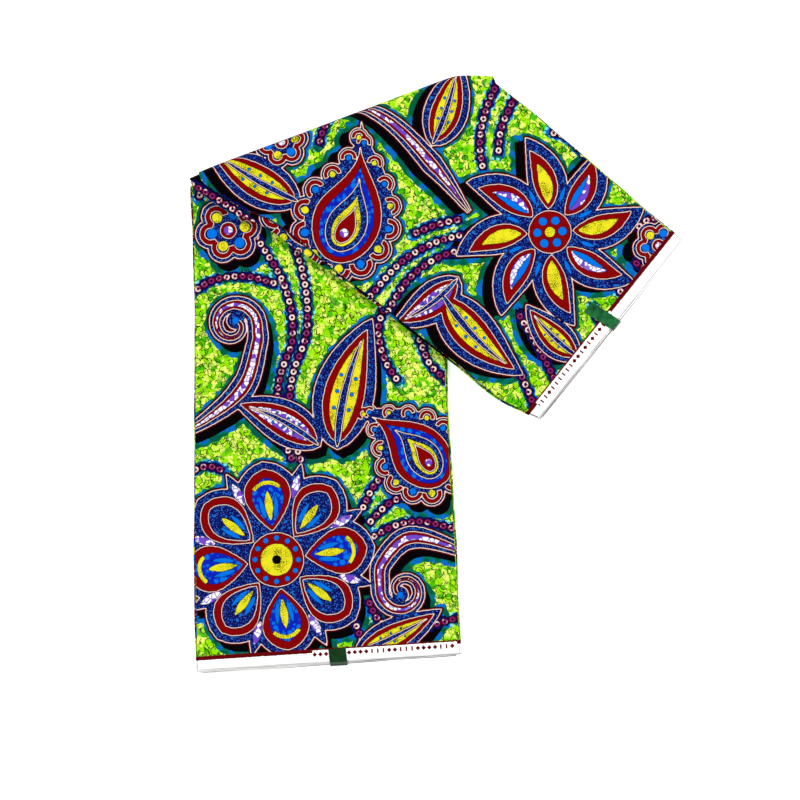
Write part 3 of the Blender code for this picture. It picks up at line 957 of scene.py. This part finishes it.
def wax_print():
    """The printed cotton: distances to the motifs' outlines become coloured bands, dots and bubbles."""
    m = Shading("wax_printed_cotton", LIME)
    m.place = m.field("print_at", "Vector")
    wobble = m.scaled(m.noise(6.0), WOBBLE, -WOBBLE / 2)
    distance = {kind: m.plus(m.field(kind), wobble) for kind in CLASSES + ("shade",)}

    swirl = m.noise(WARP_PITCH, output="Color")
    swirl = m.make("VectorMath", {0: swirl, 1: (0.5, 0.5, 0.5)}, operation="SUBTRACT").outputs[0]
    warped = m.moved(m.place, m.make("VectorMath", {0: swirl, "Scale": WARP}, operation="SCALE").outputs[0])

    # The ground: bubbles in pale yellow, lime and green, bare rings, all with broken dark lines, and specks
    m.paint(GREEN, m.scaled(m.noise(22.0, 3.0, (400, 90)), 6.0, -3.0, clamp=True))
    for shift, pitch, size, uneven, share, breaks, gap, paints in (
        ((0, 0), 10.0, 0.42, 0.16, 0.24, BUBBLE_BREAKS, 0.55, (PALE_LIME, BRIGHT_LIME)),
        ((60, 21), 10.5, 0.32, 0.16, 0.6, BUBBLE_BREAKS, 0.5, (GREEN, LEAF_GREEN)),
        ((140, 9), 6.0, 0.32, 0.16, 0.55, BUBBLE_BREAKS, 0.6, (PALE_LIME, LIME)),
        ((31, 57), 13.0, 0.26, 0.16, 0.6, BUBBLE_BREAKS, 0.5, (LIME, BRIGHT_LIME)),
        ((88, 31), 14.0, 0.3, 0.14, 0.25, RING_BREAKS, 0.46, None),
        ((19, 107), 10.0, 0.34, 0.14, 0.45, RING_BREAKS, 0.48, None),
    ):
        away, draw = m.cells(pitch, shift, place=warped if paints else None)
        beyond, here = m.less(away, m.scaled(draw(0), uneven, size)), m.over(draw(1), share, 0.02)
        if paints:
            rim = m.scaled(beyond, 2.6, m.plus(draw(2), 0.12), clamp=True)
            m.paint(m.mix(*paints, rim), m.both(here, m.under(beyond, 0.0, 0.2)))
        broken = m.over(m.noise(breaks, 0.0, shift), gap, 0.06)
        line = m.under(m.math("ABSOLUTE", beyond), LINE_HALF / pitch, LINE_SOFT / pitch)
        m.paint(DEEP_GREEN, m.both(line, broken, here))
    for shift, pitch, size, share in (((77, 3), 3.4, 0.13, 0.6), ((5, 133), 1.7, 0.2, 0.86)):
        away, draw = m.cells(pitch, shift)
        here = m.over(draw(1), share, 0.05)
        m.paint(DEEP_GREEN, m.both(m.under(away, size, 0.1), here))
    dust = m.over(m.noise(16.0, 1.0, (33, 71)), 0.68, 0.03)
    m.paint(HAZE, m.both(dust, m.under(m.cells(1.2, (9, 18))[0], 0.34, 0.2), 0.8))

    # The border round motifs and strings, blue and teal by turns, with pale foam and cracks by the strings
    patches = m.noise(15.0, 0.0, (210, 15))
    border = m.mix(BLUE, TEAL, m.over(patches, 0.43, 0.02))
    border = m.mix(border, DARK_TEAL, m.over(patches, 0.55, 0.02))
    border = m.mix(border, DEEP_BLUE, m.both(m.over(m.noise(3.0, 2.0, (18, 33)), 0.56, 0.1), 0.4))
    string, bead, chain = m.field("string"), m.field("bead"), m.field("chain")
    ragged = m.scaled(m.noise(8.0, 0.0), RAGGED, -RAGGED / 2)
    near_string = m.plus(string, ragged)
    past_motif = m.math("MINIMUM", distance["body"], distance["shade"])
    past_motif = m.less(m.plus(past_motif, ragged), MOTIF_BORDER)
    past_string = m.less(near_string, STRING_BORDER)
    foam, draw = m.cells(6.4, (3, 62))
    outer = m.under(m.math("ABSOLUTE", m.plus(past_string, 1.0)), 2.2, 1.0)
    outer = m.both(outer, m.over(past_motif, -1.0))
    foam_gap = m.less(foam, m.scaled(draw(0), 0.2, 0.22))
    m.paint(border, m.under(m.math("MINIMUM", past_motif, past_string), 0.0))
    m.paint(SEA, m.both(m.over(draw(1), 0.45, 0.03), outer, m.under(foam_gap, 0.0, 0.1)))
    cracks = m.under(m.cells(8.2, (3, 62), "DISTANCE_TO_EDGE")[0], 0.05, 0.04)
    cracked = m.both(cracks, m.over(m.noise(6.0, 0.0), 0.52, 0.05))
    near_border = m.both(m.under(past_string, 1.2), m.over(near_string, 5.0))
    m.paint(BLACK, m.both(cracked, near_border))

    # Paints that aren't plain: dotted navy, bubbled royal blue, crackled violet, grained gold
    small, small_draw = m.cells(2.9)
    tiny, tiny_draw = m.cells(1.9, (44, 8))
    great, great_draw = m.cells(7.6, (17, 91))
    dot = m.under(small, m.scaled(small_draw(0), 0.3, 0.04), 0.1)
    spot = m.under(tiny, m.scaled(tiny_draw(0), 0.26, 0.02), 0.12)
    dotted = m.mix(m.mix(NAVY, DUSK, spot), DOT_BLUE, dot)
    great_size = m.scaled(great_draw(1), 0.46, -0.18)
    dotted = m.mix(dotted, BUBBLE_BLUE, m.under(great, great_size, 0.05))
    bubbled = m.mix(ROYAL, AZURE, m.under(great, m.plus(great_size, 0.24), 0.2))
    shards = m.over(m.cells(5.6, (5, 44), "DISTANCE_TO_EDGE")[0], 0.08, 0.06)
    pale = m.over(m.cells(5.6, (5, 44))[1](2), 0.42, 0.04)
    crackled = m.mix(VIOLET, WHITE, m.both(shards, pale))
    grain_size = m.scaled(m.noise(14.0), 0.9, -0.2)
    grains = m.under(m.cells(1.7, (63, 8))[0], grain_size, 0.1)
    grained = m.mix(GOLD, OLIVE, m.both(grains, 0.85))

    # The motifs, over their dark shadow: how far out each paint reaches
    lays = [
        ("shade", 0.0, BLACK), ("body", 3.6, BLACK), ("body", 2.6, MAROON),
        ("body", 1.0, PINK), ("body", 0.0, INK), ("body", -0.9, dotted),
    ]
    paints = (RED, bubbled, AZURE, crackled, grained, dotted, AZURE, grained, RED, crackled, BLACK)
    for shape, paint in zip(CLASSES[1:], paints):
        if shape in ("red", "navy", "red_top"):
            lays += [(shape, 1.95, INK), (shape, 1.0, PINK)]
        lays += [(shape, 0.15, BLACK), (shape, -0.5, paint)]
    for shape, edge, paint in lays:
        m.paint(paint, m.under(distance[shape], edge))

    # Strings of beads: rings, pale or magenta, on a dark scalloped cord
    outside = m.over(distance["body"], 1.0)
    across_bead = m.both(m.less(m.math("FRACT", bead), 0.5), BEAD_PITCH)
    squares = m.plus(m.math("POWER", across_bead, 2.0), m.math("POWER", m.field("across"), 2.0))
    from_middle = m.math("SQRT", squares)
    cord = m.math("MINIMUM", m.less(from_middle, SCALLOP), m.less(string, CORD_HALF))
    uneven_ring = m.plus(m.both(m.lot(bead), 0.5), m.noise(4.6, 1.0, (70, 2)))
    beads = m.mix(PINK, MAGENTA, m.over(uneven_ring, 0.68, 0.2))
    near_cord = m.both(outside, m.under(string, 8.0), m.over(chain, -1.5, 1.0))
    m.paint(STRING_NAVY, m.both(m.under(m.plus(cord, ragged), 1.8), near_cord))
    on_cord = m.both(outside, m.under(string, 6.0), m.over(chain, 0.0))
    on_bead = m.both(on_cord, m.under(string, BEAD_REACH))
    for paint, value, edge, here in (
        (BLACK, cord, 0.0, on_cord), (CORD, string, RED_HALF, on_cord),
        (beads, from_middle, BEAD_RADIUS, on_bead), (BEAD_EYE, from_middle, HOLE_RADIUS, on_bead),
    ):
        m.paint(paint, m.both(m.under(value, edge), here))

    # The selvedge: bare white cloth, a maroon line where the print starts, and plain marks on part of it
    edge = m.field("edge_in")
    start = m.plus(edge, m.scaled(m.noise(4.0), 1.0, -0.5))
    marked = m.over(m.field("marks"), 0.0)
    m.paint(SELVEDGE_RED, m.under(start, PRINT_STARTS))
    m.paint(PAPER, m.under(start, m.scaled(marked, MARKED_WIDTH, BARE_WIDTH)))
    in_marks = m.math("DIVIDE", m.field("edge_along"), MARK_PITCH)
    step = m.both(m.math("ABSOLUTE", m.less(m.math("FRACT", in_marks), 0.5)), MARK_PITCH)
    beside = m.math("ABSOLUTE", m.less(edge, MARK_LINE))
    kind = m.lot(in_marks)
    lozenge = m.both(m.under(m.plus(step, beside), LOZENGE), m.under(kind, 0.5, 0.02))
    bar = m.both(m.under(step, BAR_HALF_WIDTH), m.under(beside, BAR_HALF))
    mark = m.math("MAXIMUM", lozenge, m.both(bar, m.over(kind, 0.5, 0.02)))
    m.paint(SELVEDGE_RED, m.both(mark, marked))

    # Painted shade: grey along the cut edge, stronger on the lower folds, and black where layers meet and in
    # sharp creases
    low = m.less(0.55, m.both(m.field("rise"), 0.6))
    edge_shade_amount = m.plus(m.both(m.noise(40.0), 0.8), low, clamp=True)
    m.paint(EDGE_SHADE, m.both(m.under(edge, 0.85, 0.5), edge_shade_amount))
    # Painted shade beside each leaf above, where the layers meet
    m.paint(BLACK, m.both(m.under(m.field("clear"), 1.6, 2.4), 0.92))
    # Painted shade: a thin black line in each sharp crease
    nip = m.plus(m.field("nip"), wobble)
    m.paint(BLACK, m.both(m.under(nip, 0.5), 0.7))

    threads, cross = (
        m.noise(WEAVE_PITCH, place=m.make("Mapping", {"Vector": m.place, "Scale": scale}).outputs[0])
        for scale in ((1.0, 0.18, 1.0), (0.18, 1.0, 1.0))
    )
    weave = m.plus(m.plus(threads, cross), m.noise(2.2))
    return m.done(roughness=0.7, specular=0.025, bump=(weave, 0.25, 0.0003))


def green_tape(name, deep, light, cloudiness):
    """Green tape, a little uneven."""
    m = Shading(name, deep)
    m.paint(light, m.scaled(m.cloud(cloudiness, 3.0), 2.4, -0.7, clamp=True))
    return m.done(roughness=0.35, specular=0.14, bump=(m.cloud(90.0, 2.0), 0.35, 0.0006))


COTTON = wax_print()
# What each stretch is made from. Last: 1 where it ends inside the fold, 2 where it goes round. Step: between
# points of the outer cloth. Counts: of quads in the hidden layers. Shade: where the motifs' shadow falls.
# Shift: of the paints' grain. Marks: where they start and end along the selvedge
LOWER = SimpleNamespace(
    edges=LOWER_EDGES, point=lower_point, last=1.0, size=(330.0, 740.0), step=1.72, counts=(210, 64),
    sides=LOWER_SIDES, ends=LOWER_ENDS, motifs=LOWER_MOTIFS, strings=LOWER_STRINGS, nips=LOWER_NIPS,
    shade=(8.0, -12.0), shift=(0.0, 0.0), marks=(151.0, 340.0),
)
UPPER = SimpleNamespace(
    edges=UPPER_EDGES, point=upper_point, last=2.0, size=(296.0, 452.0), step=1.45, counts=(190, 64),
    sides=UPPER_SIDES, ends=UPPER_ENDS, motifs=UPPER_MOTIFS, strings=UPPER_STRINGS, nips=UPPER_NIPS,
    shade=(-14.5, -5.0), shift=(1700.0, 900.0), marks=(12.0, 166.0),
)
lower_face, upper_face = face("lower_face", LOWER), face("upper_face", UPPER)
lower_layers, upper_layers = block("lower_layers", LOWER), block("upper_layers", UPPER)
for node, tape in (
    ("lower_tape_tab", green_tape("deep_green_tape", (0, 40, 6), (4, 62, 16), 160.0)),
    ("upper_tape_tab", green_tape("thin_green_tape", (2, 66, 26), (36, 122, 66), 110.0)),
):
    tab = bpy.data.objects[node]
    tab.data.materials.clear()
    tab.data.materials.append(tape)

for piece, node, slot in (
    (lower_face, "lower_top_layer", "printed_cotton"),
    (upper_face, "upper_top_layer", "printed_cotton"),
    (lower_layers, "lower_hidden_layers", "layer_edges"),
    (upper_layers, "upper_hidden_layers", "layer_edges"),
):
    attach(piece, "root")
    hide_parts(node)

# The floor, lights and camera, in metres and watts
FLOOR_HALF, FLOOR_DROP, FLOOR_GLOW = 6.0, 0.0002, 0.6
FLOOR_GREY, FLOOR_WHITE = (246, 246, 246), (250, 250, 250)
WORLD_STRENGTH = 0.44
FRAME_CENTRE = (-0.0488, -0.0320)
FRAME_WIDTH = 1.048
CAMERA_HEIGHT = 3.0
SENSOR = 36.0
WHITE_LIGHT = (1.0, 1.0, 1.0, 1.0)


def white_floor():
    """A white sweep that glows a little, so that shadows on it stay faint, as round the cut-out."""
    m = Shading("white_sweep", FLOOR_GREY)
    m.paint(FLOOR_WHITE, m.cloud(40.0, 2.0))
    glow = {"Emission Color": WHITE_LIGHT, "Emission Strength": FLOOR_GLOW}
    return m.done(roughness=0.9, specular=0.1, **glow)


corners = [(x * FLOOR_HALF, y * FLOOR_HALF, -FLOOR_DROP) for x, y in ((-1, -1), (1, -1), (1, 1), (-1, 1))]
floor_mesh = bpy.data.meshes.new("floor")
floor_mesh.from_pydata(corners, [], [(0, 1, 2, 3)])
floor_mesh.materials.append(white_floor())
floor = added("floor", floor_mesh)

world = bpy.data.worlds.new("studio")
world.use_nodes = True
world.node_tree.nodes["Background"].inputs["Color"].default_value = WHITE_LIGHT
world.node_tree.nodes["Background"].inputs["Strength"].default_value = WORLD_STRENGTH
bpy.context.scene.world = world

for name, place, aim, size, watts in (
    ("key_light", (1.5, 2.0, 2.3), (-0.1, -0.1, 0.0), 0.6, 90.0),
    ("fill_light", (-1.4, -1.6, 2.2), (0.0, 0.0, 0.0), 2.0, 57.0),
):
    data = bpy.data.lights.new(name, "AREA")
    data.size, data.energy = size, watts
    light = added(name, data)
    light.location = place
    direction = mathutils.Vector(aim) - mathutils.Vector(place)
    light.rotation_euler = direction.to_track_quat("-Z", "Y").to_euler()

camera_data = bpy.data.cameras.new("camera")
camera_data.sensor_width = SENSOR
camera_data.lens = SENSOR * CAMERA_HEIGHT / FRAME_WIDTH
camera = added("camera", camera_data)
camera.location = (*FRAME_CENTRE, CAMERA_HEIGHT)
bpy.context.scene.camera = camera
bpy.context.scene.view_settings.view_transform = "Standard"
